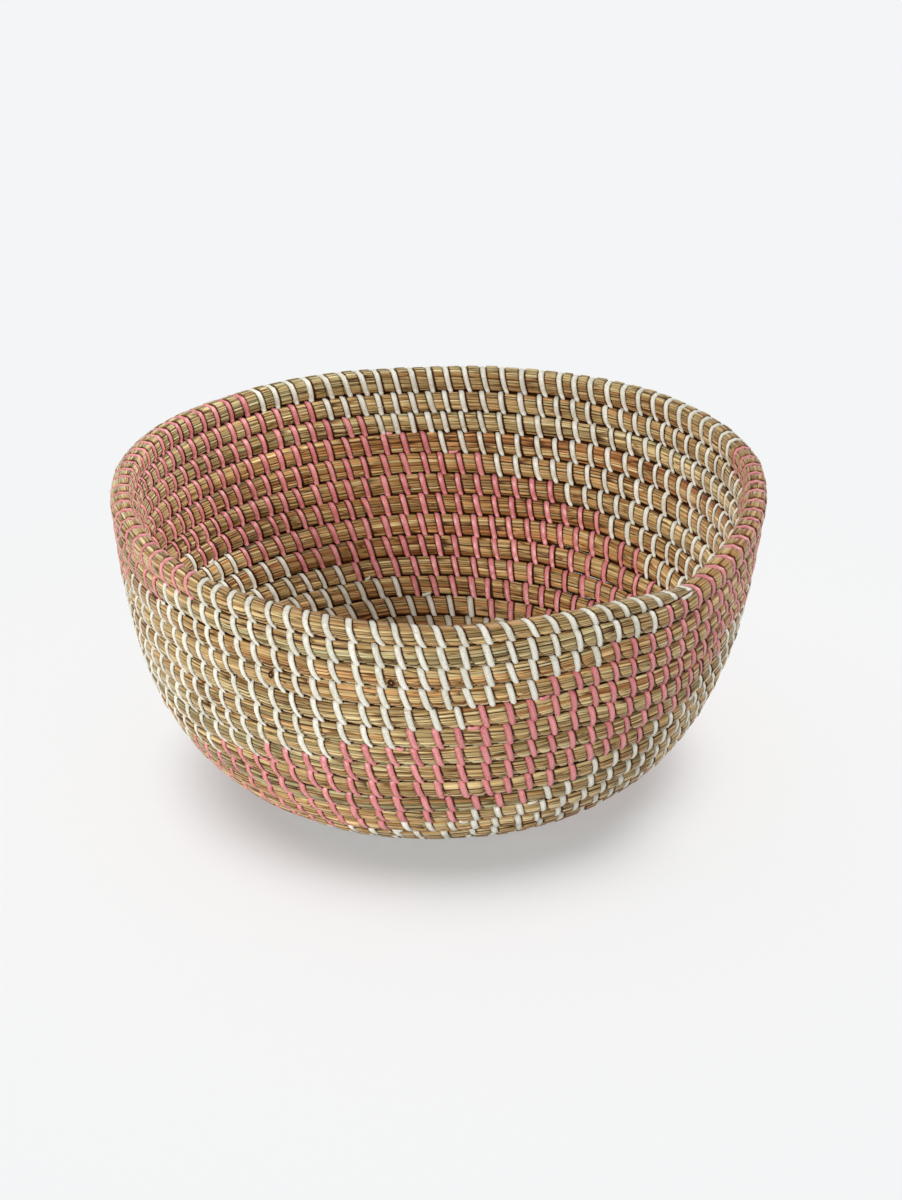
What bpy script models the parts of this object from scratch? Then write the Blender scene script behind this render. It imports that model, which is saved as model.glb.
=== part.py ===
"""Bowl of coiled seagrass, sewn with flat plastic strip in two colours.

Metres, +Z up. The origin is on the bowl's axis, in the plane that it stands on, and the photographed front
faces -Y. Azimuths are in degrees, anticlockwise from +X as seen from above.

A bundle of seagrass is wound in one spiral, out from the middle of the base and then up the side. Each turn
is a solid of its own, cut where the bundle ends on the rim. The turns of the base lie side by side, and
those of the side stand on each other. The rim turn is sewn round with strip, one length for each colour.
"""

from bisect import bisect_right
from math import atan2, cos, dist, floor, pi, radians, sin, tau

import bmesh
import bpy

# Overall sizes, to the middle of the bundle
RIM_RADIUS = 0.147
BASE_RADIUS = 0.065
HEIGHT = 0.1372
LEAN = radians(6.6)  # of the side at the rim
STRAIGHTENING = 2.35  # 1 for a side that is evenly round, and more for one that is straighter towards the rim

# The bundle
PITCH = 0.0108  # from one row to the next
BUNDLE_WIDTH = 0.0102  # through the wall
GAP = 0.0003  # between touching pieces
END_AZIMUTH = 317.0
THINNING_LENGTH = 0.330  # towards its end the rim gets thinner over this length
THINNING = 0.5  # by this share of its section
TAIL_LENGTH = 0.035  # the tapered tail
TAIL_SCALE = 0.6  # its last section, as a share of what the thinning leaves
START_TURN = -0.35  # where the curled start begins; half a turn before the axis it has no width
CURLED_TURNS = 0.5  # how far past the axis the start is narrowed

# The strip round the rim turn
STRIP_WIDTH = 0.0032
STRIP_THICKNESS = 0.0006
STITCH_SPACING = 0.0096
HIDDEN_PASS = 0.40  # the share of a stitch's advance that it makes under the rim turn
RIM_COLOURS = (("pink", 19.0), ("white", 128.5), ("pink", 224.0), ("white", END_AZIMUTH))  # to these azimuths

# How finely the turns are faceted
SIDES_ROUND = 32
SIDES_ROUND_INNER = 16
INNER_TURNS = 2.0
TAIL_STEPS = 5
PROFILE_STEPS = 400
CHAMFER = pi / 4  # from each face of the section to the next

COLOURS = {
    "seagrass": ((0.42, 0.33, 0.19, 1.0), 0.75),
    "white_strip": ((0.86, 0.85, 0.81, 1.0), 0.45),
    "pink_strip": ((0.72, 0.24, 0.29, 1.0), 0.40),
}


def wall_line():
    """The wall's middle line as (radius, height): a flat base, then a curve that straightens to the rim."""
    curve = [(0.0, 0.0)]
    for i in range(PROFILE_STEPS):
        slope = (pi / 2 - LEAN) * (1 - (1 - (i + 0.5) / PROFILE_STEPS) ** STRAIGHTENING)
        curve.append((curve[-1][0] + cos(slope), curve[-1][1] + sin(slope)))
    across = (RIM_RADIUS - BASE_RADIUS) / curve[-1][0]
    up = HEIGHT / curve[-1][1]
    foot = BUNDLE_WIDTH / 2
    return [(0.0, foot)] + [(BASE_RADIUS + r * across, foot + z * up) for r, z in curve]


LINE = wall_line()
LENGTHS = [0.0]
for start, end in zip(LINE, LINE[1:]):
    LENGTHS.append(LENGTHS[-1] + dist(start, end))
TURNS = LENGTHS[-1] / PITCH


def middle(turn):
    """The bundle's middle after this many turns, as (radius, height). It runs on straight past both ends."""
    length = turn * PITCH
    i = min(max(bisect_right(LENGTHS, length), 1), len(LINE) - 1)
    (r0, z0), (r1, z1) = LINE[i - 1], LINE[i]
    share = (length - LENGTHS[i - 1]) / (LENGTHS[i] - LENGTHS[i - 1])
    return r0 + (r1 - r0) * share, z0 + (z1 - z0) * share


def place(turn, point):
    """A (radius, height) point set at the azimuth of this turn."""
    azimuth = radians(END_AZIMUTH) + tau * (turn - TURNS)
    return point[0] * cos(azimuth), point[0] * sin(azimuth), point[1]


def bundle_faces(turn):
    """The faces of the bundle's section, as (direction, distance), anticlockwise from the one up the wall.

    The first and the fifth lie against the next turn and the last one.
    """
    centre, above, below = middle(turn), middle(turn + 1), middle(turn - 1)
    up = atan2(above[1] - centre[1], above[0] - centre[0])
    down = atan2(below[1] - centre[1], below[0] - centre[0]) % tau
    inner = (up + down) / 2
    half_up = dist(above, centre) / 2 - GAP / 2
    half_down = dist(below, centre) / 2 - GAP / 2
    half_wide = BUNDLE_WIDTH / 2
    half_corner = (half_up + half_wide) / 2
    return [
        (up, half_up),
        (up + CHAMFER, half_corner),
        (inner, half_wide),
        (down - CHAMFER, half_corner),
        (down, half_down),
        (down + CHAMFER, half_corner),
        (inner + pi, half_wide),
        (up - CHAMFER, half_corner),
    ]


def outline(centre, faces):
    """The corners of a convex section, from the lower inner one up the inner face, over and down."""
    corners = []
    for (a, da), (b, db) in zip(faces, faces[1:] + faces[:1]):
        spread = sin(b - a)
        x = (da * sin(b) - db * sin(a)) / spread
        y = (db * cos(a) - da * cos(b)) / spread
        corners.append((centre[0] + x, centre[1] + y))
    return [corners[i] for i in (3, 2, 1, 0, 7, 6, 5, 4)]


def section(turn):
    """The bundle's eight corners in the turns below the rim, as (radius, height)."""
    corners = outline(middle(turn), bundle_faces(turn))
    if turn < CURLED_TURNS:
        # The curled start narrows towards the axis.
        low, high = GAP / 2, (turn + 0.5) * PITCH - GAP / 2
        left = min(r for r, z in corners)
        right = max(r for r, z in corners)
        corners = [(low + (r - left) * (high - low) / (right - left), z) for r, z in corners]
    # Where the wall begins to rise, the bundle is pressed flat on the floor.
    return [(r, max(z, 0.0)) for r, z in corners]


def rim_section(turn, cover=0.0):
    """The rim turn's corners. It is pulled in under its strip, and where it thins it sinks onto the turn below.

    The cover is how far above its surface the corners lie.
    """
    faces = [(way, distance - STRIP_THICKNESS - GAP) for way, distance in bundle_faces(turn)]
    left = (TURNS - turn) * tau * RIM_RADIUS
    along = max(0.0, 1 - left / TAIL_LENGTH)
    scale = (1 - THINNING * max(0.0, 1 - left / THINNING_LENGTH)) * (1 - (1 - TAIL_SCALE) * along * along)
    down, seat = faces[4]
    r, z = middle(turn)
    centre = (r + seat * (1 - scale) * cos(down), z + seat * (1 - scale) * sin(down))
    return outline(centre, [(way, distance * scale + cover) for way, distance in faces])


def stations(first, last):
    """The turns at which the sections stand from first to last, at azimuths that all turns share."""
    found = [first]
    sides = SIDES_ROUND if first >= INNER_TURNS else SIDES_ROUND_INNER
    step = floor((first - TURNS) * sides + 1e-6) + 1
    while TURNS + step / sides < last - 1e-6:
        found.append(TURNS + step / sides)
        step += 1
    return found + [last]


TAIL_TURNS = TAIL_LENGTH / (tau * RIM_RADIUS)
RIM_STATIONS = [turn for turn in stations(TURNS - 1, TURNS) if turn < TURNS - TAIL_TURNS - 1e-3]
RIM_STATIONS += [TURNS - TAIL_TURNS * (1 - i / TAIL_STEPS) for i in range(TAIL_STEPS + 1)]


def on_rim(turn, corner, cover):
    """A point over a corner of the faceted rim turn, on the straight line between its two stations."""
    i = min(max(bisect_right(RIM_STATIONS, turn), 1), len(RIM_STATIONS) - 1)
    start, end = RIM_STATIONS[i - 1], RIM_STATIONS[i]
    share = (turn - start) / (end - start)
    a = place(start, rim_section(start, cover)[corner])
    b = place(end, rim_section(end, cover)[corner])
    return [p + (q - p) * share for p, q in zip(a, b)]


def material(name):
    made = bpy.data.materials.get(name)
    if made is None:
        colour, roughness = COLOURS[name]
        made = bpy.data.materials.new(name)
        made.use_nodes = True
        shader = made.node_tree.nodes["Principled BSDF"]
        shader.inputs["Base Color"].default_value = colour
        shader.inputs["Roughness"].default_value = roughness
        shader.inputs["Metallic"].default_value = 0.0
    return made


def lofted(name, rings, finish):
    """A closed solid through rings of as many points each, with flat ends."""
    bm = bmesh.new()
    loops = [[bm.verts.new(point) for point in ring] for ring in rings]
    for ring, following in zip(loops, loops[1:]):
        for i, corner in enumerate(ring):
            j = (i + 1) % len(ring)
            bm.faces.new((corner, ring[j], following[j], following[i]))
    bm.faces.new(loops[0])
    bm.faces.new(reversed(loops[-1]))
    bmesh.ops.recalc_face_normals(bm, faces=bm.faces)
    mesh = bpy.data.meshes.new(name)
    bm.to_mesh(mesh)
    bm.free()
    mesh.materials.append(material(finish))
    piece = bpy.data.objects.new(name, mesh)
    bpy.context.scene.collection.objects.link(piece)
    return piece


def bundle_turn(number, turns, shape):
    """One turn of the bundle, its ends drawn back half a gap so that it meets its neighbours face to face."""
    half_gap = GAP / 2 / tau
    places = list(turns)
    places[0] += half_gap / max(middle(turns[0])[0], PITCH)
    places[-1] -= half_gap / middle(turns[-1])[0]
    rings = [[place(at, corner) for corner in shape(turn)] for at, turn in zip(places, turns)]
    return lofted(f"coil_turn_{number:02d}", rings, "seagrass")


def rim_strip(name, stitches, spacing, finish):
    """A length of strip wound round the rim turn, up the inner face and down the outer one in each stitch."""
    half = STRIP_WIDTH / 2 / (tau * RIM_RADIUS)
    step = (1 - HIDDEN_PASS) / 7
    rings = []
    for stitch in stitches:
        for corner in range(8):
            turn = TURNS - 1 + spacing * (stitch + HIDDEN_PASS / 2 + corner * step)
            rings.append(
                [
                    on_rim(turn - half, corner, GAP),
                    on_rim(turn + half, corner, GAP),
                    on_rim(turn + half, corner, GAP + STRIP_THICKNESS),
                    on_rim(turn - half, corner, GAP + STRIP_THICKNESS),
                ]
            )
    return lofted(name, rings, finish)


for old in list(bpy.data.objects):
    bpy.data.objects.remove(old, do_unlink=True)

# The turns, from the curled start to the one under the rim
rim_number = floor(TURNS)
first_cut = TURNS - rim_number + 1
bundle_turn(1, stations(START_TURN, first_cut), section)
for number in range(2, rim_number):
    cut = first_cut + number - 2
    bundle_turn(number, stations(cut, cut + 1), section)

# The rim turn with its tapered tail, and the strip round it
bundle_turn(rim_number, RIM_STATIONS, rim_section)
stitch_count = round(tau * RIM_RADIUS / STITCH_SPACING)
sewn = 0
lengths = {"pink": 0, "white": 0}
for colour, last_azimuth in RIM_COLOURS:
    sewn_share = 1 - radians(END_AZIMUTH - last_azimuth) / tau
    upto = min(round(stitch_count * sewn_share), stitch_count - 1)
    lengths[colour] += 1
    name = f"rim_strip_{colour}_{lengths[colour]}"
    rim_strip(name, range(sewn, upto), 1 / stitch_count, f"{colour}_strip")
    sewn = upto
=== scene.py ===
"""Looks of the coiled seagrass bowl: the bundle of stalks, the strip that sews it, and the studio."""

from math import pi, radians, tau

import bpy
import numpy as np
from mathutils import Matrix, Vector


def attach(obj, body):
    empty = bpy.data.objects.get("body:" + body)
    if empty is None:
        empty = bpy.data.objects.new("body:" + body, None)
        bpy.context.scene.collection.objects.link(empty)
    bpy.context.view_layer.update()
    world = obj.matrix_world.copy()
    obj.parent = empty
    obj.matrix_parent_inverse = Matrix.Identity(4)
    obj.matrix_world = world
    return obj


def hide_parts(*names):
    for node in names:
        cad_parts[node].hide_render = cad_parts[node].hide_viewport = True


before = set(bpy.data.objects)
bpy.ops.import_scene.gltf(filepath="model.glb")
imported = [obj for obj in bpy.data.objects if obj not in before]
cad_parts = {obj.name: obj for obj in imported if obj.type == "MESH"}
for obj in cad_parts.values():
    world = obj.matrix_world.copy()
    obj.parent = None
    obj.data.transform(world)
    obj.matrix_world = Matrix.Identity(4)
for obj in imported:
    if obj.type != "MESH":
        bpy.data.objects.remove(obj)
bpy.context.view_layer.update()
bpy.ops.object.select_all(action="DESELECT")

# The course of the bundle
# The bowl is one spiral, wound anticlockwise from the middle of the base. The base is flat, and the wall
# bends up from it and straightens towards the rim. Lengths are in millimetres, and a place along the spiral
# is given as the number of turns wound before it.
MM = 0.001
RIM_RADIUS = 147.0  # this and the next two are to the middle of the bundle
BASE_RADIUS = 65.0
WALL_HEIGHT = 137.2
LEAN = radians(6.6)  # of the wall at the rim
STRAIGHTENING = 2.35  # 1 for a wall that is evenly round, and more for one that is straighter at the rim
PITCH = 10.8  # from one row to the next
BUNDLE_DEPTH = 10.2  # through the wall
END_AZIMUTH = 317.0  # where the bundle ends on the rim, in degrees
FIRST_TURN = -0.35  # where its curled start begins
COURSE_STEPS = 400

risen = (np.arange(COURSE_STEPS) + 0.5) / COURSE_STEPS
slope = (pi / 2 - LEAN) * (1 - (1 - risen) ** STRAIGHTENING)
across, upward = np.cumsum(np.cos(slope)), np.cumsum(np.sin(slope))
course_r = BASE_RADIUS + (RIM_RADIUS - BASE_RADIUS) * across / across[-1]
course_r = np.concatenate([[-PITCH, 0.0, BASE_RADIUS], course_r])
course_z = np.concatenate([[0.0, 0.0, 0.0], WALL_HEIGHT * upward / upward[-1]]) + BUNDLE_DEPTH / 2
course_at = np.concatenate([[0.0], np.cumsum(np.hypot(np.diff(course_r), np.diff(course_z)))]) - PITCH
TURNS = course_at[-1] / PITCH
# One straight pitch past the rim gives the last turn its direction.
way_r, way_z = np.diff(course_r)[-1], np.diff(course_z)[-1]
way = np.hypot(way_r, way_z)
course_r = np.append(course_r, course_r[-1] + PITCH * way_r / way)
course_z = np.append(course_z, course_z[-1] + PITCH * way_z / way)
course_at = np.append(course_at, course_at[-1] + PITCH)

# The bowl is a little out of round, most at the rim. Each line is (lobes, then millimetres out as cosine and
# sine, then millimetres up as cosine and sine).
OUT_OF_ROUND = ((1, 1.54, 0.29, 1.01, 0.63), (2, -0.56, 1.31, 0.90, 1.34), (3, 0.63, 2.19, 0.0, 0.0))
OUT_OF_ROUND_GROWTH = 1.5  # the power of the way up the wall with which this grows
# Each row wanders too. A wave is (waves in a turn, millimetres out, millimetres up, phase), and the numbers
# of waves are not whole, so that a row differs a little from the one that it stands on.
WAVES = ((3.04, 0.25, 0.25, 0.4), (5.96, 0.22, 0.22, 2.1), (10.07, 0.18, 0.16, 4.4), (17.9, 0.14, 0.10, 1.3))
UP_PHASE = 2.7  # the phase of a wave up, as a multiple of its phase out
# The bundle is thicker in places: (waves in a turn, millimetres that it moves the rows up the wall, phase)
THICKER = ((0.27, 0.40, 1.0), (0.55, 0.30, 4.0), (1.43, 0.25, 2.0), (3.47, 0.15, 5.0))
SETTLED_TURN = 4.0  # the waves and thicker places grow to their full size over the turns before it
# The upper rows dip where the bundle ends: millimetres down, its half width, and the rows from the rim over
# which it fades
DIP = 4.6
DIP_HALF_WIDTH = radians(10.5)
DIP_ROWS = (2.0, 8.0)


def middle(turn):
    """The radius and height of the bundle's middle."""
    length = np.asarray(turn) * PITCH
    return np.interp(length, course_at, course_r), np.interp(length, course_at, course_z)


def moved_up(turn):
    """How many millimetres the thicker stretches below have moved the bundle up the wall."""
    grown = np.clip(turn / SETTLED_TURN, 0, 1)
    return grown * sum(rise * np.sin(tau * waves * turn + phase) for waves, rise, phase in THICKER)


def on_wall(turn, out, up):
    """Points set off from the bundle's middle, out through the wall and up along it, in metres."""
    moved = moved_up(turn)
    up = up * (1 + np.where(up > 0, moved_up(turn + 1) - moved, moved - moved_up(turn - 1)) / PITCH)
    there = turn + moved / PITCH
    r, z = middle(there)
    r1, z1 = middle(there + 0.5)
    r0, z0 = middle(there - 0.5)
    rise = np.hypot(r1 - r0, z1 - z0)
    up_r, up_z = (r1 - r0) / rise, (z1 - z0) / rise
    azimuth = radians(END_AZIMUTH) + tau * (turn - TURNS)
    grown = np.clip(turn / SETTLED_TURN, 0, 1)
    for waves, wave_out, wave_up, phase in WAVES:
        swing = np.sin(tau * waves * turn + phase)
        out = out + wave_out * swing * grown * up_z
        up = up + wave_up * np.sin(tau * waves * turn + UP_PHASE * phase) * grown
    radius = r + out * up_z + up * up_r
    height = z - out * up_r + up * up_z
    wall_share = np.clip((turn * PITCH - BASE_RADIUS) / (TURNS * PITCH - BASE_RADIUS), 0, 1)
    grown = wall_share**OUT_OF_ROUND_GROWTH
    for lobes, out_cos, out_sin, up_cos, up_sin in OUT_OF_ROUND:
        cosine, sine = np.cos(lobes * azimuth), np.sin(lobes * azimuth)
        radius = radius + grown * (out_cos * cosine + out_sin * sine)
        height = height + grown * (up_cos * cosine + up_sin * sine)
    from_end = (azimuth - radians(END_AZIMUTH) + pi) % tau - pi
    dip = DIP * np.exp(-0.5 * (from_end / DIP_HALF_WIDTH) ** 2)
    height = height - dip * np.interp(TURNS - turn, DIP_ROWS, (1.0, 0.0))
    return np.stack([radius * np.cos(azimuth), radius * np.sin(azimuth), height], axis=-1) * MM


# The places of the stitches
# The bowl is sewn as it is coiled. Each stitch goes beside the one in the row below, a little back from it,
# and where those have spread too far apart, seven go beside six. The rim and the start are sewn closest.
FIRST_STITCH = 0.62  # in turns
ROWS_FROM_RIM = (0.0, 5.0, 9.0, 12.0, 20.0, 23.0)
SPACING_THERE = (9.3, 9.5, 9.9, 10.3, 10.2, 8.4)
BESIDE = 6
BACK_FROM_BELOW = 0.5
UNEVEN = 0.28  # millimetres that a stitch is off, as a standard deviation
LAST_STITCH = 7.0  # millimetres past the last full turn at most, so on the tail
END_WIDER = (1.0, 2.0, 3.2, 4.7)  # how much further on the last four are
rng = np.random.default_rng(17)


def sewn_places():
    """The place of each stitch along the spiral."""
    places = [FIRST_STITCH]
    beside = 0
    last_place = TURNS + LAST_STITCH / (tau * RIM_RADIUS)
    while places[-1] < last_place:
        around = tau * float(middle(places[-1])[0])
        step = float(np.interp(TURNS - places[-1], ROWS_FROM_RIM, SPACING_THERE)) / around
        back = 1 - BACK_FROM_BELOW / around
        if places[-1] < places[0] + 1:
            places.append(places[-1] + step)
            continue
        below = places[beside + BESIDE] - places[beside]
        if below > (BESIDE + 0.5) * step:
            more = int(below / step + 0.5)
            new = [places[beside] + back + below * i / more for i in range(1, more + 1)]
            beside += BESIDE
        else:
            new = [(places[beside] + 2 * places[beside + 1] + places[beside + 2]) / 4 + back]
            beside += 1
        places += [at + UNEVEN / around * rng.standard_normal() for at in new]
    places = np.array([at for at in places if at < last_place])
    places[-len(END_WIDER):] += np.array(END_WIDER) / (tau * RIM_RADIUS)
    return places


stitches = sewn_places()
round_at = tau * middle(stitches)[0]

# The bundle of seagrass
# Dry stalks laid side by side, some 20 round a bundle 10 mm thick, fed in as others run out. Each stitch
# pinches the bundle, which swells between the stitches. The rows press flat on each other. The rim's end
# tapers to a cut tail, and the start curls in on itself.
STALKS = 20
HALF_DEPTH = 4.70  # through the wall
HALF_HEIGHT = 5.40  # along it
SQUARENESS = 2.9  # of the section, where an ellipse has 2
GROOVE = 0.35  # how deep a stitch pinches
GROOVE_HALF = 1.55  # half a groove's width
SWELL = 0.42  # how far the bundle swells between stitches
SWEEP = 0.45  # the share of the way to the next stitch that a ring sweeps on over the row below
SLANT = 3.3  # how far a stitch moves on from its top to its foot
SLANT_RADIUS = 30.0  # nearer to the bowl's axis stitches slant less
HIDDEN_ARC = radians(30)  # on each side of the bundle's underside, where the row below hides the stitch
THINNING_LENGTH = 330.0  # towards its end the rim gets thinner
THINNING = 0.5
TAIL_LENGTH = 35.0
TAIL_SCALE = 0.48
TAIL_RUN_ON = 1.34  # the tail goes on tapering past the last full turn, to this multiple of its length
TAIL_TIP = 0.7  # how far the tip runs on past the last stitch's edge
CURLED_TURNS = 0.5


def slant(psi):
    """How far along the bundle a stitch lies at each angle: back on the inner face, on at the outer one."""
    sewn = np.clip((psi - HIDDEN_ARC) / (tau - 2 * HIDDEN_ARC), 0, 1) * 2 - 1
    low = np.where(psi < HIDDEN_ARC, -psi / HIDDEN_ARC, (tau - psi) / HIDDEN_ARC)
    return SLANT * np.where((psi >= HIDDEN_ARC) & (psi <= tau - HIDDEN_ARC), sewn, low)


def pressed(turn, out, up):
    """The curl of the start, and the end of the rim, which gets thinner and lies down on the row below."""
    left = (TURNS - turn) * tau * RIM_RADIUS
    scale = 1 - THINNING * np.clip(1 - left / THINNING_LENGTH, 0, 1)
    scale = scale * (1 - (1 - TAIL_SCALE) * np.clip(1 - left / TAIL_LENGTH, 0, TAIL_RUN_ON) ** 2)
    up = -HALF_HEIGHT + (up + HALF_HEIGHT) * scale
    out = out * (0.5 + 0.5 * scale)  # half as much through the wall
    half = (turn + 0.5) * PITCH / 2
    curled = half + up / HALF_HEIGHT * half - turn * PITCH
    return out, np.where(turn < CURLED_TURNS, curled, up)


def bundle_skin(turn, psi, lift):
    """A point of the bundle's surface. Psi goes from the row below up the inner face, over and down."""
    out, up = -np.sin(psi), -np.cos(psi)
    reach = np.abs(out / HALF_DEPTH) ** SQUARENESS + np.abs(up / HALF_HEIGHT) ** SQUARENESS
    reach = reach ** (-1 / SQUARENESS) + lift
    return pressed(turn, out * reach, up * reach)


def at_skin(turn, psi, lift, along):
    """The same in space, moved on along the bundle by so many millimetres."""
    out, up = bundle_skin(turn, psi, lift)
    radius = np.maximum(middle(turn)[0], PITCH / 2)
    return on_wall(turn + along / (tau * radius), out, up)


# Rings of the mesh follow the stitches: three in each groove, then four on the swelling after it. Each is
# (turn, millimetres out, painted shadow outside the bowl, painted shadow inside, whether it is in a groove,
# millimetres to the next groove). Outside the bowl a painted shadow lies along the far side of a stitch, and
# inside along both sides.
LEAD_IN_STEP = 0.035  # turns between the rings before the first stitch
SHORT_TURN = 60.0  # grooves are narrower on a turn shorter than this
SWELL_VARIES = (0.5, 1.5)  # from one swelling to the next
NEAR_SHADES, COVERED_SHADES, FAR_SHADES = (0.2, 1.6), (0.2, 0.1), (1.6, 1.0)  # painted shadow outside and inside
COVERED, UNCOVERED = 0.30, 0.08  # from a groove's far edge to the rings before and after it
FAR_DEEPER = 0.1  # than the rest of the groove
RISE = 0.44  # from a groove to a ring halfway up the swelling
RISE_AT_MOST = 0.15  # of the room between two grooves
FULL_RISE = 2.2  # from a groove to the top of the swelling, in rises
gap_after = np.append(np.diff(stitches) * round_at[:-1], TAIL_TIP + 2 * GROOVE_HALF)
lead_in = np.arange(FIRST_TURN, stitches[0] - 2 * GROOVE_HALF / round_at[0], LEAD_IN_STEP)
ring_rows = [(turn, 0.0, 0.0, 0.0, 0.0, 0.0) for turn in lead_in]
for place, gap, around in zip(stitches, gap_after, round_at):
    swell = SWELL * rng.uniform(*SWELL_VARIES)
    edge = GROOVE_HALF * min(1.0, around / SHORT_TURN)
    room = max(gap - 2 * edge, 0.0)
    ring_rows += [
        (place - edge / around, -GROOVE, *NEAR_SHADES, 1.0, 0.0),
        (place + (edge - COVERED) / around, -GROOVE, *COVERED_SHADES, 1.0, room + COVERED),
        (place + (edge + UNCOVERED) / around, -GROOVE - FAR_DEEPER, *FAR_SHADES, 1.0, room - UNCOVERED),
    ]
    if room > 0:
        rise = min(RISE, RISE_AT_MOST * room)
        # From the groove, share of the swelling, and painted shadow outside and inside
        for offset, share, outside, inside in (
            (rise, 0.45, 0.55, 0.25),
            (FULL_RISE * rise, 0.95, 0.0, 0.0),
            (room - FULL_RISE * rise, 0.95, 0.0, 0.0),
            (room - rise, 0.45, 0.0, 0.65),
        ):
            place_there = place + (edge + offset) / around
            ring_rows.append((place_there, share * swell, outside, inside, 0.0, room - offset))
last_turn = stitches[-1] + (GROOVE_HALF + TAIL_TIP) / (tau * RIM_RADIUS)
ring_rows = sorted(row for row in ring_rows if row[0] < last_turn) + [(last_turn, 0.0, 0.0, 0.0, 0.0, 0.0)]
ring_turn, ring_lift, painted_shadow_outside, painted_shadow_inside, ring_groove, ring_room = np.array(ring_rows).T
radius_there = np.maximum(middle(ring_turn)[0], PITCH / 2)
ring_step = np.diff(ring_turn) * tau * (radius_there[1:] + radius_there[:-1]) / 2
ring_length = np.append(0.0, np.cumsum(ring_step))


def wander(size, step, count=STALKS):
    """Smooth random numbers along the bundle, a column for each stalk, with a new one every so many mm."""
    knots = int(ring_length[-1] / step) + 3
    columns = []
    for _ in range(count):
        at = (np.arange(knots) + rng.uniform(-0.8, -0.2)) * step
        columns.append(np.interp(ring_length, at, rng.standard_normal(knots)))
    return size * np.stack(columns, axis=1)


STALK_SHOWS = (45, 260)  # for how many millimetres one stalk shows before the next takes its place
SHOWS_AT_LEAST = 90  # on average, which gives enough of them to reach the end
stalk_number, stalk_start = [], []
for stalk in range(STALKS):
    ends = np.cumsum(rng.uniform(*STALK_SHOWS, int(ring_length[-1] / SHOWS_AT_LEAST)))
    number = np.searchsorted(ends, ring_length)
    stalk_number.append(number)
    stalk_start.append(np.append(0, np.diff(number)) > 0)
stalk_number, stalk_start = np.stack(stalk_number, axis=1), np.stack(stalk_start, axis=1)
stalk_random = rng.uniform(0, 1, (3, STALKS, stalk_number.max() + 1))
stalk_tone, stalk_light, stalk_height = stalk_random[:, np.arange(STALKS), stalk_number]

# A stalk's section: the share of the way across it, how much that point is of the gap before the stalk, and
# how much of its top
STALK_SECTION = ((0.0, 1.0, 0.0), (0.18, 0.25, 0.80), (0.5, 0.0, 1.12), (0.82, 0.25, 0.80))
# What varies along the bundle: how much, and over how many millimetres
WIDTH_VARIES = (0.42, 110)
TWIST = (0.35, 130)
GAP_VARIES, GAP_LIMITS = (0.45, 30), (0.1, 2.2)
TOP_VARIES = (0.07, 25)
CRACK_VARIES, CRACK_LIMITS = (0.70, 30), (0.0, 1.5)
BATCH_VARIES = (1.0, 260)
GAP_DEPTH, GAP_DEEPER = 0.10, 0.24  # in a groove, and how much deeper between grooves
TOPS_DIFFER = 0.50  # how much higher the highest stalk is than the lowest
TOPS_IN_GROOVE = 0.35  # the share of this that is left in a groove
STALKS_UP = 0.05  # added to every stalk's top
START_NOTCH, START_SHADE = 0.30, 0.8  # where a new stalk starts: a notch, with painted shade in it
CRACK_SHADE = 0.55  # painted shade in the gap between two stalks, on average
width = np.exp(wander(*WIDTH_VARIES))
edge_psi = np.cumsum(width, axis=1) / width.sum(axis=1, keepdims=True) * tau + wander(*TWIST, 1)
last_psi = np.concatenate([edge_psi[:, -1:] - tau, edge_psi[:, :-1]], axis=1)
free = 1 - ring_groove[:, None]
valley = -(GAP_DEPTH + GAP_DEEPER * free) * np.clip(1 + wander(*GAP_VARIES), *GAP_LIMITS)
crown = wander(*TOP_VARIES) + TOPS_DIFFER * (stalk_height - 0.5)
crown = crown * (TOPS_IN_GROOVE + (1 - TOPS_IN_GROOVE) * free) - START_NOTCH * stalk_start
painted_crack_shade = np.clip(CRACK_SHADE + wander(*CRACK_VARIES), *CRACK_LIMITS)
psi, depth, painted_shade = (
    np.stack(values, axis=2).reshape(len(ring_turn), -1)
    for values in (
        [last_psi * (1 - share) + edge_psi * share for share, low, high in STALK_SECTION],
        [valley * low + crown * high + STALKS_UP * high for share, low, high in STALK_SECTION],
        [painted_crack_shade * low + START_SHADE * stalk_start * high for share, low, high in STALK_SECTION],
    )
)
inner_share = np.clip(0.5 + np.sin(psi), 0, 1)
painted_shade = painted_shade + painted_shadow_outside[:, None] * (1 - inner_share) + painted_shadow_inside[:, None] * inner_share
tone = np.repeat(stalk_tone, len(STALK_SECTION), axis=1)
light = np.repeat(stalk_light, len(STALK_SECTION), axis=1)
BACK_REDDER = ((0.5, 3.0, 6.0), (0.1, 0.5, 1.0))  # rows from the rim, and how much redder at the back
azimuth = radians(END_AZIMUTH) + tau * (ring_turn - TURNS)
redder = np.interp(TURNS - ring_turn, *BACK_REDDER) * np.sin(azimuth)
batch = np.repeat(wander(*BATCH_VARIES, 1) - redder[:, None], psi.shape[1], axis=1)

# Where the rows press on each other they are flat and their crease gets painted shade, and only the rim is
# round on top.
SIDE_POWER = 1.5
PRESSED_DEPTH = 0.4  # the share of the stalks' relief that is left there
CREASE_FROM, CREASE_WIDTH = 0.875, 0.095  # up the bundle's side, as shares of its half height
CREASE_WIDER_INSIDE = 0.06
CREASE_SHADE = 1.1
on_rim = (ring_turn[:, None] > TURNS - 1) & (np.cos(psi) < 0)
side_share = np.where(on_rim, 1.0, np.abs(np.sin(psi)) ** SIDE_POWER)
lift = ring_lift[:, None] * side_share + depth * (PRESSED_DEPTH + (1 - PRESSED_DEPTH) * side_share)
crease_from = CREASE_FROM - CREASE_WIDER_INSIDE * inner_share
crease = np.abs(bundle_skin(ring_turn[:, None], psi, 0.0)[1]) / HALF_HEIGHT
crease = np.clip((crease - crease_from) / CREASE_WIDTH, 0, 1)
painted_shade = painted_shade + np.where(on_rim, 0.0, CREASE_SHADE * crease)

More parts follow.
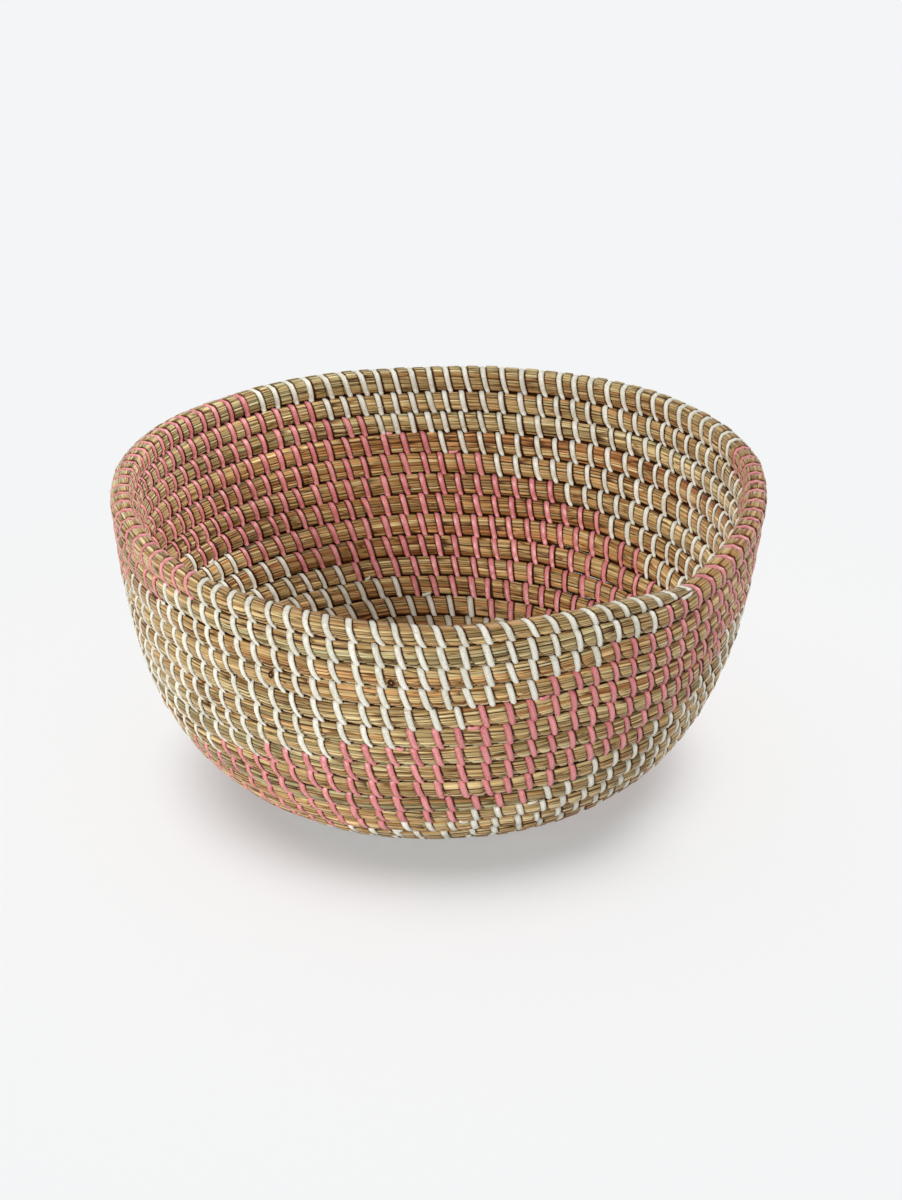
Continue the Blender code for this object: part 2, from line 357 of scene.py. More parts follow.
# On the lower part of the outer face, which bulges over the row below, the rings sweep on.
SWEEP_FROM, SWEEP_GROWS, SWEEP_FADES = radians(262), radians(58), radians(20)
slant_share = np.minimum(1.0, radius_there / SLANT_RADIUS)[:, None]
over_below = np.clip((psi % tau - SWEEP_FROM) / SWEEP_GROWS, 0, 1) ** 2
over_below = over_below * np.clip((tau - psi % tau) / SWEEP_FADES, 0, 1)
sweep = SWEEP * over_below * ring_room[:, None]
bundle_points = at_skin(ring_turn[:, None], psi, lift, slant(psi % tau) * slant_share + sweep)
FLOOR_PRESS = 0.15  # the base's stalks lie flat at this height over the floor
bundle_points[..., 2] = np.maximum(bundle_points[..., 2], FLOOR_PRESS * MM)


def tube_mesh(name, rings, fields, along, around, sharp=()):
    """A piece made of closed tubes. Rings is tubes by rings by points by xyz, and each end is closed.

    Fields are numbers at the points. Along and around are a map of the surface, in millimetres. Sharp are
    the points of a ring that have a sharp edge running along the tube.
    """
    tubes, length, sides = rings.shape[:3]
    index = np.arange(tubes * length * sides).reshape(tubes, length, sides)
    turned = np.roll(index, -1, axis=2)
    quads = np.stack([index[:, :-1], turned[:, :-1], turned[:, 1:], index[:, 1:]], axis=-1).reshape(-1, 4)
    centre_index = index.size + np.arange(tubes * 2).reshape(tubes, 2, 1)
    first = np.broadcast_to(centre_index[:, 0], (tubes, sides))
    last = np.broadcast_to(centre_index[:, 1], (tubes, sides))
    start_cap = np.stack([turned[:, 0], index[:, 0], first], axis=-1)
    end_cap = np.stack([index[:, -1], turned[:, -1], last], axis=-1)
    caps = np.concatenate([start_cap.reshape(-1, 3), end_cap.reshape(-1, 3)])
    mesh = bpy.data.meshes.new(name)
    centres = np.stack([rings[:, 0].mean(axis=1), rings[:, -1].mean(axis=1)], axis=1)
    points = np.concatenate([rings.reshape(-1, 3), centres.reshape(-1, 3)])
    corners = np.concatenate([quads.ravel(), caps.ravel()])
    totals = np.concatenate([np.full(len(quads), 4), np.full(len(caps), 3)])
    mesh.vertices.add(len(points))
    mesh.vertices.foreach_set("co", points.ravel())
    mesh.loops.add(len(corners))
    mesh.loops.foreach_set("vertex_index", corners)
    mesh.polygons.add(len(totals))
    mesh.polygons.foreach_set("loop_start", np.append(0, np.cumsum(totals)[:-1]))
    mesh.polygons.foreach_set("loop_total", totals)
    mesh.update(calc_edges=True)
    mesh.polygons.foreach_set("use_smooth", np.ones(len(totals), bool))
    ends = np.empty(len(mesh.edges) * 2, np.int32)
    mesh.edges.foreach_get("vertices", ends)
    ends = ends.reshape(-1, 2)
    lengthwise = (ends.max(axis=1) < index.size) & (ends[:, 0] % sides == ends[:, 1] % sides)
    edges = lengthwise & np.isin(ends[:, 0] % sides, sharp)
    mesh.attributes.new("sharp_edge", "BOOLEAN", "EDGE").data.foreach_set("value", edges)
    for field, values in fields.items():
        values = np.broadcast_to(values, (tubes, length, sides))
        capped = np.stack([values[:, 0].mean(axis=1), values[:, -1].mean(axis=1)], axis=1)
        values = np.concatenate([values.ravel(), capped.ravel()]).astype(np.float32)
        mesh.attributes.new(field, "FLOAT", "POINT").data.foreach_set("value", values)
    u = np.broadcast_to(along, (tubes, length, sides))
    v = np.broadcast_to(around[:-1], (tubes, length, sides))
    v_next = np.broadcast_to(around[1:], (tubes, length, sides))
    u_next = np.roll(u, -1, axis=2)
    corner_u = np.stack([u[:, :-1], u_next[:, :-1], u_next[:, 1:], u[:, 1:]], axis=-1)
    corner_v = np.stack([v[:, :-1], v_next[:, :-1], v_next[:, 1:], v[:, 1:]], axis=-1)
    cap_u = np.concatenate([np.repeat(u[:, 0].ravel(), 3), np.repeat(u[:, -1].ravel(), 3)])
    cap_v = np.tile([around[0], around[-1] / 2, around[-1]], len(caps))
    surface = np.stack([np.append(corner_u, cap_u), np.append(corner_v, cap_v)], axis=-1)
    mesh.uv_layers.new(name="Surface").uv.foreach_set("vector", surface.astype(np.float32).ravel())
    piece = bpy.data.objects.new(name, mesh)
    bpy.context.scene.collection.objects.link(piece)
    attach(piece, "root")
    return piece


LAST_ROW = int(TURNS)
BUNDLE_ROUND = 33.0  # millimetres round the bundle
bundle_pieces = []
around_bundle = np.linspace(0, BUNDLE_ROUND, psi.shape[1] + 1)
for number in range(1, LAST_ROW + 1):
    begin = TURNS - LAST_ROW + number - 1 if number > 1 else FIRST_TURN
    first = max(np.searchsorted(ring_turn, begin) - 1, 0)
    last = np.searchsorted(ring_turn, TURNS - LAST_ROW + number)
    part = slice(first, last if number < LAST_ROW else len(ring_turn))
    fields = {"gap": painted_shade, "tone": tone, "light": light, "batch": batch}
    fields = {field: values[part][None] for field, values in fields.items()}
    along = ring_length[part][None, :, None]
    name = f"seagrass_turn_{number:02d}"
    piece = tube_mesh(name, bundle_points[part][None], fields, along, around_bundle)
    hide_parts(f"coil_turn_{number:02d}")
    bundle_pieces.append(piece)


def linear(code):
    """An sRGB hex colour as linear numbers."""
    parts = [int(code[i : i + 2], 16) / 255 for i in (1, 3, 5)]
    return [c / 12.92 if c <= 0.04045 else ((c + 0.055) / 1.055) ** 2.4 for c in parts] + [1.0]


def new_material(name, roughness, ior):
    made = bpy.data.materials.new(name)
    made.use_nodes = True
    shader = made.node_tree.nodes["Principled BSDF"]
    shader.inputs["Roughness"].default_value = roughness
    shader.inputs["IOR"].default_value = ior
    return made, shader


def add(made, kind, inputs=None, **settings):
    """Adds a node with its settings, and fills its inputs with values or links."""
    node = made.node_tree.nodes.new(kind)
    for name, value in settings.items():
        setattr(node, name, value)
    for socket, value in (inputs or {}).items():
        if isinstance(value, bpy.types.NodeSocket):
            made.node_tree.links.new(value, node.inputs[socket])
        else:
            node.inputs[socket].default_value = value
    return node


def ramp_between(made, value, low, high, to_low, to_high):
    """Takes a value between low and high to between two others, and no further."""
    inputs = {"Value": value, "From Min": low, "From Max": high, "To Min": to_low, "To Max": to_high}
    return add(made, "ShaderNodeMapRange", inputs).outputs["Result"]


def streaks_along(made, surface, along, across, detail):
    """Noise drawn out along the stalks, with so many marks per millimetre each way."""
    scaled = add(made, "ShaderNodeMapping", {"Vector": surface, "Scale": (along, across, 1.0)})
    noise = {"Vector": scaled.outputs["Vector"], "Scale": 1.0, "Detail": detail}
    return add(made, "ShaderNodeTexNoise", noise).outputs["Fac"]


# Dry seagrass: split, matt stalks from straw to grey green and orange brown, with painted shade between
# them. Its fibres are about half a millimetre wide, its splits and weathered blotches two, and all are 15 to
# 50 mm long.
grass, shader = new_material("dry_seagrass", 0.5, 1.5)
surface = add(grass, "ShaderNodeUVMap", uv_map="Surface").outputs["UV"]
gap, tone_of, light_of, batch_of = (
    add(grass, "ShaderNodeAttribute", attribute_name=field).outputs["Fac"]
    for field in ("gap", "tone", "light", "batch")
)
fibres = streaks_along(grass, surface, 0.04, 2.1, 3.0)
blotches = streaks_along(grass, surface, 0.05, 0.6, 3.0)
dashes = streaks_along(grass, surface, 0.07, 1.9, 2.0)
split = streaks_along(grass, surface, 0.02, 0.5, 2.0)
split = add(grass, "ShaderNodeMath", {0: split, 1: 0.5}, operation="SUBTRACT").outputs[0]
split = add(grass, "ShaderNodeMath", {0: split}, operation="ABSOLUTE").outputs[0]
# A stalk's place on the colour ramp: the lowest, and what its own tone, its batch and its blotches add
hue = 0.14
for value, share in ((tone_of, 0.46), (batch_of, 0.11), (blotches, 0.40)):
    hue = add(grass, "ShaderNodeMath", {0: value, 1: share, 2: hue}, operation="MULTIPLY_ADD").outputs[0]
STALK_COLOURS = (
    (0.0, "#ab6630"),
    (0.22, "#c48a56"),
    (0.42, "#d6a86e"),
    (0.60, "#dec088"),
    (0.80, "#d0bc8a"),
    (1.0, "#b8b284"),
)
SHEEN_COLOUR = "#e8dfcb"
PAINTED_SHADE_COLOUR = "#3a1b04"
ramp = add(grass, "ShaderNodeValToRGB", {"Fac": hue})
while len(ramp.color_ramp.elements) < len(STALK_COLOURS):
    ramp.color_ramp.elements.new(0.5)
for stop, (position, code) in zip(ramp.color_ramp.elements, STALK_COLOURS):
    stop.position = position
    stop.color = linear(code)
# Each stalk is lighter or darker, and its fibres, the dark dashes and the splits darken it further.
lightness = ramp_between(grass, light_of, 0.0, 1.0, 0.55, 1.05)
for factor in (
    ramp_between(grass, fibres, 0.34, 0.66, 0.56, 1.42),
    ramp_between(grass, dashes, 0.31, 0.37, 0.30, 1.0),
    ramp_between(grass, split, 0.0, 0.03, 0.22, 1.0),
):
    lightness = add(grass, "ShaderNodeMath", {0: lightness, 1: factor}, operation="MULTIPLY").outputs[0]
# The darker a line, the redder it is.
GREEN_POWER, BLUE_POWER = 1.24, 1.60
darkened = {0: lightness}
for channel, power in ((1, GREEN_POWER), (2, BLUE_POWER)):
    darkened[channel] = add(grass, "ShaderNodeMath", {0: lightness, 1: power}, operation="POWER").outputs[0]
darkened = add(grass, "ShaderNodeCombineXYZ", darkened).outputs["Vector"]
coloured = {0: ramp.outputs["Color"], 1: darkened}
coloured = add(grass, "ShaderNodeVectorMath", coloured, operation="MULTIPLY")
# A faint pale sheen is painted into the stalks' colour at grazing angles, but not down in the gaps.
grazing = add(grass, "ShaderNodeLayerWeight", {"Blend": 0.5}).outputs["Facing"]
sheen = ramp_between(grass, grazing, 0.4, 1.0, 0.0, 0.5)
open_to_light = ramp_between(grass, gap, 0.0, 0.5, 1.0, 0.0)
sheen = add(grass, "ShaderNodeMath", {0: sheen, 1: open_to_light}, operation="MULTIPLY").outputs[0]
with_painted_sheen = {0: sheen, 6: coloured.outputs["Vector"], 7: linear(SHEEN_COLOUR)}
with_painted_sheen = add(grass, "ShaderNodeMix", with_painted_sheen, data_type="RGBA").outputs[2]
# Painted shade: the gap field turns the colour to dark brown between stalks, in the creases between rows,
# beside the stitches and in the hollows of the cut ends.
dark = ramp_between(grass, gap, 0.0, 0.95, 0.0, 1.0)
shaded = add(grass, "ShaderNodeMix", {0: dark, 6: with_painted_sheen, 7: linear(PAINTED_SHADE_COLOUR)}, data_type="RGBA").outputs[2]
links = grass.node_tree.links
links.new(shaded, shader.inputs["Base Color"])
shader.inputs["Specular IOR Level"].default_value = 0.15
bump = add(grass, "ShaderNodeBump", {"Height": fibres, "Strength": 0.6, "Distance": 0.0003})
links.new(bump.outputs["Normal"], shader.inputs["Normal"])
for piece in bundle_pieces:
    piece.data.materials.append(grass)

# Loose fibres and cut stalks
# Split fibres of the dry grass stand off the bundle here and there, and a few stalks end in a hollow cut end
# that pokes out between two stitches.
FIBRES = 170
FIBRE_STEPS = 7
FIBRE_TURNS = (4, TURNS - 0.05)
FIBRE_LENGTHS = (4, 15)
FIBRE_DRIFT = 22  # degrees round the bundle, as a standard deviation
FIBRE_LIFTS = (0.3, 1.3)  # how far its loose end stands off
FIBRE_HALVES = (0.10, 0.20)  # half its thickness where it leaves the bundle
FIBRE_TAPER = 1.1  # its thickness goes down from this multiple to a tenth
FIBRE_START = 0.1  # over the swollen bundle
OUTER_SIDE, INNER_SIDE = (215.0, 330.0), (30.0, 150.0)  # degrees round the bundle
RISEN_TURN = 9.5  # the outer face of the turns before it lies near the floor


def on_either_side(turns):
    """Random angles on the outer and the inner face of the bundle, but never on its underside."""
    outer = (rng.uniform(0, 1, turns.shape) < 0.5) & (turns > RISEN_TURN)
    low = np.where(outer, OUTER_SIDE[0], INNER_SIDE[0])
    high = np.where(outer, OUTER_SIDE[1], INNER_SIDE[1])
    return np.radians(rng.uniform(low, high))


fibre_path = np.linspace(0, 1, FIBRE_STEPS)
fibre_turn = rng.uniform(*FIBRE_TURNS, FIBRES)[:, None]
fibre_psi = on_either_side(fibre_turn)
fibre_length = rng.uniform(*FIBRE_LENGTHS, (FIBRES, 1)) * rng.choice((-1, 1), (FIBRES, 1))
fibre_drift = np.radians(rng.normal(0, FIBRE_DRIFT, (FIBRES, 1)))
fibre_lift = rng.uniform(*FIBRE_LIFTS, (FIBRES, 1))
fibre_half = rng.uniform(*FIBRE_HALVES, (FIBRES, 1)) * (FIBRE_TAPER - fibre_path)
rings = []
for turned, lifted in ((1, 0), (0, -1), (-1, 0), (0, 1)):
    psi_there = fibre_psi + fibre_drift * fibre_path**1.5 + turned * fibre_half / HALF_HEIGHT
    lift_there = FIBRE_START + SWELL + fibre_lift * fibre_path**2 + lifted * fibre_half
    rings.append(at_skin(fibre_turn, psi_there, lift_there, fibre_length * fibre_path))
rings = np.stack(rings, axis=2)
backward = fibre_length[:, 0] < 0
rings[backward] = rings[backward][:, :, ::-1]
fields = {
    "gap": np.zeros((FIBRES, 1, 1)),
    "tone": rng.uniform(0.3, 1.0, (FIBRES, 1, 1)),
    "light": rng.uniform(0.6, 1.3, (FIBRES, 1, 1)),
    "batch": np.zeros((FIBRES, 1, 1)),
}
# Each fibre has its own part of the grass's pattern, 12 mm long and 1 mm round.
along = (rng.uniform(0, 900, (FIBRES, 1)) + fibre_path * 12)[:, :, None]
loose = tube_mesh("loose_fibres", rings, fields, along, np.linspace(0, 1.0, 5))
loose.data.materials.append(grass)

# Cut ends are rings from the outside in: radius and height in millimetres, and painted shade, darkest in the
# hollow. A pith stands in the hollow. The first two are where the photograph shows one, and they are the
# biggest.
CUT_ENDS = 16
CUT_PROFILE = (
    (0.80, -0.3, 0.6),
    (0.86, 0.85, 0.5),
    (0.80, 1.15, 0.3),
    (0.74, 1.12, 0.9),
    (0.68, 0.92, 1.8),
    (0.19, 0.90, 1.8),
    (0.13, 1.10, 0.0),
)
CUT_SIDES = 8
CUT_TURNS, CUT_SIZES = (5, TURNS - 1), (0.8, 1.15)
CUT_OVAL = 1.25  # how much wider it is up the wall than along the bundle
CUT_PATTERN = (7.0, 5.0)  # millimetres of the grass's pattern from one to the next, and round each
SHOWN_TURNS, SHOWN_PSI, SHOWN_SIZES = [TURNS - 2.1496, TURNS - 3.208], [[280.0], [238.0]], [2.1, 1.7]
more = CUT_ENDS - len(SHOWN_TURNS)
cut_turn = np.append(SHOWN_TURNS, rng.uniform(*CUT_TURNS, more))[:, None]
cut_psi = np.append(np.radians(SHOWN_PSI), on_either_side(cut_turn[len(SHOWN_TURNS) :]), axis=0)
cut_size = np.append(SHOWN_SIZES, rng.uniform(*CUT_SIZES, more))[:, None]
radius, height, shade = np.array(CUT_PROFILE).T
rings = []
for corner in np.arange(CUT_SIDES) * tau / CUT_SIDES:
    aside = cut_size * radius * np.cos(corner)
    turned = -cut_size * radius * np.sin(corner) * CUT_OVAL / HALF_HEIGHT
    rings.append(at_skin(cut_turn, cut_psi + turned, height, aside))
rings = np.stack(rings, axis=2)
fields = {
    "gap": shade[None, :, None],
    "tone": rng.uniform(0.0, 0.8, (CUT_ENDS, 1, 1)),
    "light": rng.uniform(0.7, 1.2, (CUT_ENDS, 1, 1)),
    "batch": np.zeros((CUT_ENDS, 1, 1)),
}
along = np.arange(CUT_ENDS)[:, None, None] * CUT_PATTERN[0]
ends = tube_mesh("cut_stalk_ends", rings, fields, along, np.linspace(0, CUT_PATTERN[1], CUT_SIDES + 1))
ends.data.materials.append(grass)
bundle_pieces += [loose, ends]

# The sewing strip
# Flat polypropylene strip, about 3 mm wide, white and pink. A stitch comes up out of the row below on the
# inner face, lies over the bundle and goes down the outer face into the row below again. The colours change
# four times a turn, each time a few stitches earlier, so that the fields swirl.
STRIP_WIDTH = 2.95
STRIP_THICKNESS = 0.78  # with the rounding that pulling it tight gives it
STRIP_BEVEL = 0.22
STRIP_CLEAR = 0.03  # over the bottom of its groove
STRIP_ANGLES = (38, 62, 90, 118, 142, 180, 218, 242, 270, 298, 322)
DIVE = ((3.25, -5.1), (2.3, -6.6))  # from the bundle's middle, out and up, to where its feet go in and end
FEET_RUN_ON = (1.04, 1.12)  # how far along the bundle the feet are, in slants
FEET_NARROWER = (0.9, 0.7)  # the shares of the strip's width that they have
NARROW_RADIUS = 14.0  # nearer to the bowl's axis the strip is narrower
SLANT_VARIES, STRIP_VARIES, TILT_VARIES = 0.12, 0.05, 0.08  # as standard deviations
# Where the colours change on the rim, as an azimuth, and how many millimetres earlier in each turn inwards
COLOUR_CHANGES = ((226.0, 31.0), (128.5, 32.0), (19.0, 28.0), (322.0, 30.0))
JUST_PAST_END = 0.95  # a change this far back or more is the one just past the bundle's end
FIRST_CHANGE = 0.3  # the turn before which the colour never changes
LEAST_CHANGE_RADIUS = 20.0  # nearer to the axis the change moves by no larger an angle

changes = []
for azimuth, shift in COLOUR_CHANGES:
    back = ((END_AZIMUTH - azimuth) % 360) / 360
    if back > JUST_PAST_END:
        back -= 1
    while back < TURNS - FIRST_CHANGE:
        changes.append(back)
        back += 1 + shift / (tau * max(float(middle(TURNS - back)[0]), LEAST_CHANGE_RADIUS))
changes = np.sort(changes)
is_white = np.searchsorted(changes, TURNS - stitches) % 2 == np.searchsorted(changes, 0.0) % 2

count = len(stitches)
angles = np.radians(STRIP_ANGLES)
strip_turn = stitches[:, None]
strip_radius = np.maximum(middle(strip_turn)[0], PITCH / 2)
narrow = np.minimum(1.0, strip_radius / NARROW_RADIUS)
slant_scale = np.minimum(1.0, strip_radius / SLANT_RADIUS)
slant_scale = slant_scale * (1 + SLANT_VARIES * rng.standard_normal((count, 1)))
half_width = STRIP_WIDTH / 2 * narrow * (1 + STRIP_VARIES * rng.standard_normal((count, 1)))
tilt = TILT_VARIES * rng.standard_normal((count, 1))
feet = np.array(FEET_RUN_ON)
lie = np.concatenate([-feet[::-1], slant(angles) / SLANT, feet]) * SLANT
pinch = np.concatenate([FEET_NARROWER[::-1], np.ones(len(angles)), FEET_NARROWER])
foot_out, foot_up = np.array(DIVE)[::-1].T

# The points round the strip's section: side, millimetres in from the edge, height as a share of the
# thickness, and how far the painted shade of its edges reaches there
STRIP_SECTION = (
    (1.0, 0.0, 0.34, 1.0),
    (1.0, STRIP_BEVEL, 0.70, 0.75),
    (0.0, 0.0, 1.20, 0.0),
    (-1.0, STRIP_BEVEL, 0.70, 0.75),
    (-1.0, 0.0, 0.34, 1.0),
    (-1.0, STRIP_BEVEL, 0.0, 1.0),
    (1.0, STRIP_BEVEL, 0.0, 1.0),
)
TOP_CORNERS = (1, 3)
path_points = len(lie)
strip_rings = np.zeros((count, path_points, len(STRIP_SECTION), 3))
for k, (side, inset, height, shade) in enumerate(STRIP_SECTION):
    across = side * (half_width - inset)
    lift = height * STRIP_THICKNESS + tilt * side
    out, up = bundle_skin(strip_turn, angles, lift - GROOVE + STRIP_CLEAR)
    inner_out, inner_up = pressed(strip_turn, -foot_out - lift, foot_up)
    outer_out, outer_up = pressed(strip_turn, foot_out[::-1] + lift, foot_up[::-1])
    out = np.concatenate([inner_out, out, outer_out], axis=1)
    up = np.concatenate([inner_up, up, outer_up], axis=1)
    along = lie * slant_scale + across * pinch
    strip_rings[:, :, k] = on_wall(strip_turn + along / (tau * strip_radius), out, up)
strip_rings[..., 2] = np.maximum(strip_rings[..., 2], 0.0)

STITCH_LENGTH, STRIP_ROUND = 36.0, 7.4  # millimetres, for the strip's pattern
STITCH_PATTERN = 41.0  # from one stitch to the next
strip_random = rng.uniform(0, 1, count)
strip_length = np.linspace(0, STITCH_LENGTH, path_points)
strip_around = np.linspace(0, STRIP_ROUND, len(STRIP_SECTION) + 1)
painted_edge_shade = np.array([shade for *_, shade in STRIP_SECTION])[None, None, :]
strip_pieces = {"white": [], "pink": []}
row_of = np.clip(np.ceil(stitches - (TURNS - LAST_ROW)).astype(int), 1, LAST_ROW)
for number in range(1, LAST_ROW + 1):
    for colour in strip_pieces:
        chosen = (row_of == number) & (is_white == (colour == "white"))
        if not chosen.any():
            continue
        rings = strip_rings[chosen]
        fields = {"shade": strip_random[chosen][:, None, None], "edge": painted_edge_shade}
        along = np.arange(len(rings))[:, None, None] * STITCH_PATTERN + strip_length[None, :, None]
        name = f"{colour}_stitches_{number:02d}"
        piece = tube_mesh(name, rings, fields, along, strip_around, TOP_CORNERS)
        if number == LAST_ROW:
            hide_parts(f"rim_strip_{colour}_1", f"rim_strip_{colour}_2")
        strip_pieces[colour].append(piece)

# Where the colour changes, a few millimetres of the new strip's end lie in the crease under the last stitch,
# and at the bundle's end a torn white end lies there too.
END_SECTION = ((-0.85, 0.0), (-0.65, -0.1), (0.65, -0.1), (0.85, 0.0), (0.65, 0.5), (-0.65, 0.5))  # up, out
END_CREASE = (3.75, -5.3)  # out and up from the bundle's middle
END_BOW = 0.35  # how far its middle bows out
END_STEPS = 6
END_ROUND = 6.2  # millimetres round the section
END_FROM_TURN = 4  # the turns before it show no ends
END_START = SLANT + 1.9  # from the stitch's middle, past its foot
END_SHOWS = (2.5, 5.0)  # how much of it shows
END_BENDS = (-0.5, 1.2)  # how far up its end bends
TORN_START, TORN_LENGTH = -4.5, 6.5  # it begins before the last stitch
end_path = np.linspace(0, 1, END_STEPS)
last_of_colour = np.flatnonzero(is_white[1:] != is_white[:-1])
last_of_colour = last_of_colour[stitches[last_of_colour] > END_FROM_TURN]
for colour in strip_pieces:
    chosen = last_of_colour[is_white[last_of_colour + 1] == (colour == "white")]
    along = END_START + rng.uniform(*END_SHOWS, (len(chosen), 1)) * end_path
    bent = rng.uniform(*END_BENDS, (len(chosen), 1)) * end_path**2
    side = rng.choice((-1.0, 1.0, 1.0), (len(chosen), 1))  # two of three lie on the outer face
    along = side * along
    if colour == "white":
        chosen = np.append(chosen, count - 1)
        side = np.append(side, [[1.0]], axis=0)
        along = np.append(along, [TORN_START + TORN_LENGTH * end_path], axis=0)
        bent = np.append(bent, [0 * end_path], axis=0)
    turn = stitches[chosen][:, None] + along / round_at[chosen][:, None]
    rings = []
    for section_up, section_out in END_SECTION:
        out = END_CREASE[0] + section_out + END_BOW * np.sin(pi * end_path)
        up = END_CREASE[1] + section_up + bent
        rings.append(on_wall(turn, side * out, up))
    rings = np.stack(rings, axis=2)
    rings[..., 2] = np.maximum(rings[..., 2], 0.0)
    fields = {"shade": rng.uniform(0, 1, (len(chosen), 1, 1)), "edge": np.zeros((1, 1, 1))}
    around = np.linspace(0, END_ROUND, len(END_SECTION) + 1)
    piece = tube_mesh(f"{colour}_strip_ends", rings, fields, along[:, :, None], around)
    strip_pieces[colour].append(piece)

# Polypropylene: extruded flat and slightly crinkled by the sewing, with a soft shine. It has fine lines along
# it, crinkles about a millimetre apart, and painted shade along its rounded edges.
for colour, code, dark, edge, rough in (
    ("white", "#fcf9ee", "#cbc7b3", "#aaa38c", 0.42),
    ("pink", "#f3a6a3", "#c6686b", "#9a4650", 0.38),
):
    strip, shader = new_material(f"{colour}_polypropylene_strip", rough, 1.49)
    surface = add(strip, "ShaderNodeUVMap", uv_map="Surface").outputs["UV"]
    crinkle = streaks_along(strip, surface, 0.9, 1.6, 3.0)
    lines = streaks_along(strip, surface, 0.25, 2.6, 2.0)
    mixed = crinkle
    shade_of = add(strip, "ShaderNodeAttribute", attribute_name="shade").outputs["Fac"]
    for value, share in ((shade_of, 0.25), (lines, 0.8)):
        mixed = {0: value, 1: share, 2: mixed}
        mixed = add(strip, "ShaderNodeMath", mixed, operation="MULTIPLY_ADD").outputs[0]
    share = ramp_between(strip, mixed, 0.72, 1.32, 0.0, 1.0)
    tint = {0: share, 6: linear(dark), 7: linear(code)}
    tint = add(strip, "ShaderNodeMix", tint, data_type="RGBA").outputs[2]
    # The edge field paints shade along the strip's rounded edges.
    painted_edge_shade_of = add(strip, "ShaderNodeAttribute", attribute_name="edge").outputs["Fac"]
    painted_edge_shade_share = ramp_between(strip, painted_edge_shade_of, 0.25, 1.0, 0.0, 0.8)
    tint = {0: painted_edge_shade_share, 6: tint, 7: linear(edge)}
    tint = add(strip, "ShaderNodeMix", tint, data_type="RGBA").outputs[2]
    links = strip.node_tree.links
    links.new(tint, shader.inputs["Base Color"])
    bump = add(strip, "ShaderNodeBump", {"Height": crinkle, "Strength": 0.5, "Distance": 0.0002})
    links.new(bump.outputs["Normal"], shader.inputs["Normal"])
    for piece in strip_pieces[colour]:
        piece.data.materials.append(strip)

# The studio
# The bowl stands on a pale table of lit acrylic, without an edge, which glows a little by itself. A very
# broad lamp above and behind lights the table alone. Three lamps, and a small one over the rim, light the
# bowl alone, so that they throw no shadow on the table. The room adds even light all round.
FLOOR_SIZE = 8.0
bpy.ops.mesh.primitive_plane_add(size=FLOOR_SIZE, location=(0, 0, 0))
floor = bpy.context.object
floor.name = "studio_floor"
FLOOR_WHITE = linear("#f3f4f5")
FLOOR_GLOW = 0.42
light_table, shader = new_material("lit_acrylic", 0.9, 1.49)
shader.inputs["Base Color"].default_value = [c * (1 - FLOOR_GLOW) for c in FLOOR_WHITE[:3]] + [1.0]
shader.inputs["Specular IOR Level"].default_value = 0.0
shader.inputs["Emission Color"].default_value = FLOOR_WHITE
shader.inputs["Emission Strength"].default_value = FLOOR_GLOW
floor.data.materials.append(light_table)

ROOM_LIGHT = 0.15
world = bpy.context.scene.world or bpy.data.worlds.new("studio")
bpy.context.scene.world = world
world.use_nodes = True
room = world.node_tree.nodes["Background"]
room.inputs["Color"].default_value = (1.0, 1.0, 1.0, 1.0)
ray = add(world, "ShaderNodeLightPath").outputs
seen = {0: ray["Is Camera Ray"], 1: ray["Is Glossy Ray"]}
seen = add(world, "ShaderNodeMath", seen, operation="MAXIMUM").outputs[0]
world.node_tree.links.new(ramp_between(world, seen, 0.0, 1.0, ROOM_LIGHT, 1.0), room.inputs["Strength"])

only_floor = bpy.data.collections.new("lit_floor")
only_floor.objects.link(floor)
only_bowl = bpy.data.collections.new("lit_bowl")
for piece in bundle_pieces + strip_pieces["white"] + strip_pieces["pink"]:
    only_bowl.objects.link(piece)

# In the photograph the shadow keeps close under the bowl's front, so the lowest rows alone shade the floor.
SHADING_ROWS = 11
lower_rows = bpy.data.collections.new("floor_shading_rows")
for piece in bundle_pieces[:SHADING_ROWS]:
    lower_rows.objects.link(piece)

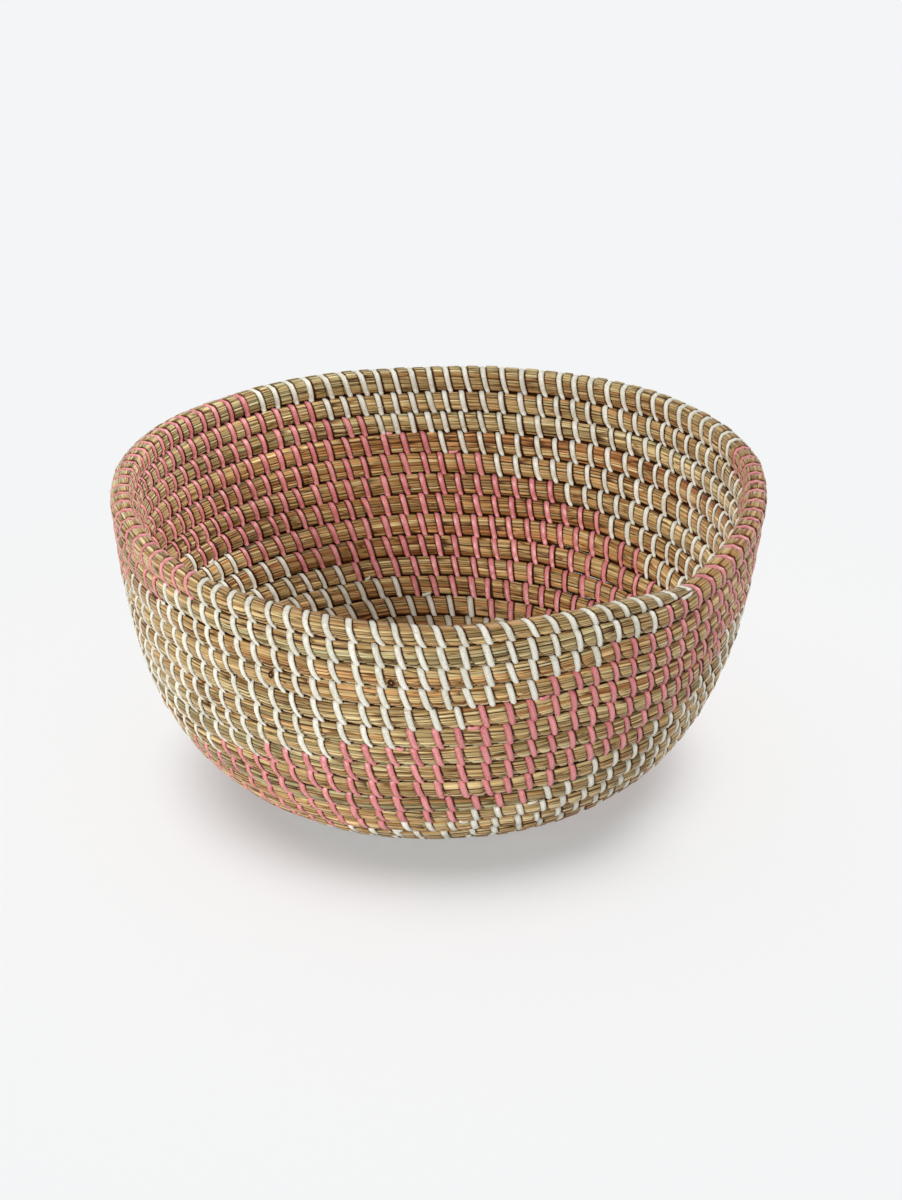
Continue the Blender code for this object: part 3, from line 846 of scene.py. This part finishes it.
# Lamps: name, azimuth that it shines from, elevation, strength, apparent size in degrees, what it lights
LAMPS = (
    ("floor_lamp", 110.0, 74.0, 2.83, 84.0, only_floor),
    ("front_lamp", 236.0, 27.0, 2.35, 14.0, only_bowl),
    ("left_lamp", 155.0, 30.0, 0.6, 20.0, only_bowl),
    ("right_lamp", 22.0, 40.0, 1.6, 20.0, only_bowl),
)
for name, azimuth, elevation, strength, size, lit in LAMPS:
    lamp = bpy.data.lights.new(name, "SUN")
    lamp.energy = strength
    lamp.angle = radians(size)
    holder = bpy.data.objects.new(name, lamp)
    holder.rotation_euler = (radians(90 - elevation), 0, radians(azimuth + 90))
    holder.light_linking.receiver_collection = lit
    if lit == only_floor:
        holder.light_linking.blocker_collection = lower_rows
    bpy.context.scene.collection.objects.link(holder)

# A small soft lamp over the right of the rim lights the inside on the left.
INNER_LAMP_PLACE = Vector((0.10, -0.02, 0.27))
INNER_LAMP_AIM = Vector((-0.14, 0.03, 0.09))
INNER_LAMP_WATTS = 0.085
INNER_LAMP_SIZE = 0.12
INNER_LAMP_SPREAD = radians(70)
lamp = bpy.data.lights.new("inner_lamp", "AREA")
lamp.energy = INNER_LAMP_WATTS
lamp.size = INNER_LAMP_SIZE
lamp.spread = INNER_LAMP_SPREAD
holder = bpy.data.objects.new("inner_lamp", lamp)
holder.location = INNER_LAMP_PLACE
holder.rotation_euler = (INNER_LAMP_AIM - INNER_LAMP_PLACE).to_track_quat("-Z", "Y").to_euler()
holder.visible_camera = False
holder.light_linking.receiver_collection = only_bowl
bpy.context.scene.collection.objects.link(holder)

# The camera, where the photographer stood: in front and a little above
CAMERA_PLACE = (0.0071, -1.3329, 0.7269)
CAMERA_DOWN = 25.83  # degrees
CAMERA_ROLL = 0.26
FRAME_HEIGHT = 1200  # pixels of the photograph
FOCAL_PIXELS = 3170
SENSOR = 36.0  # millimetres
camera_data = bpy.data.cameras.new("camera")
camera_data.sensor_width = SENSOR
camera_data.lens = FOCAL_PIXELS / FRAME_HEIGHT * SENSOR
camera = bpy.data.objects.new("camera", camera_data)
camera.location = CAMERA_PLACE
camera.rotation_mode = "ZYX"
camera.rotation_euler = (radians(90 - CAMERA_DOWN), 0, radians(-CAMERA_ROLL))
bpy.context.scene.collection.objects.link(camera)
bpy.context.scene.camera = camera
bpy.context.scene.view_settings.view_transform = "Standard"
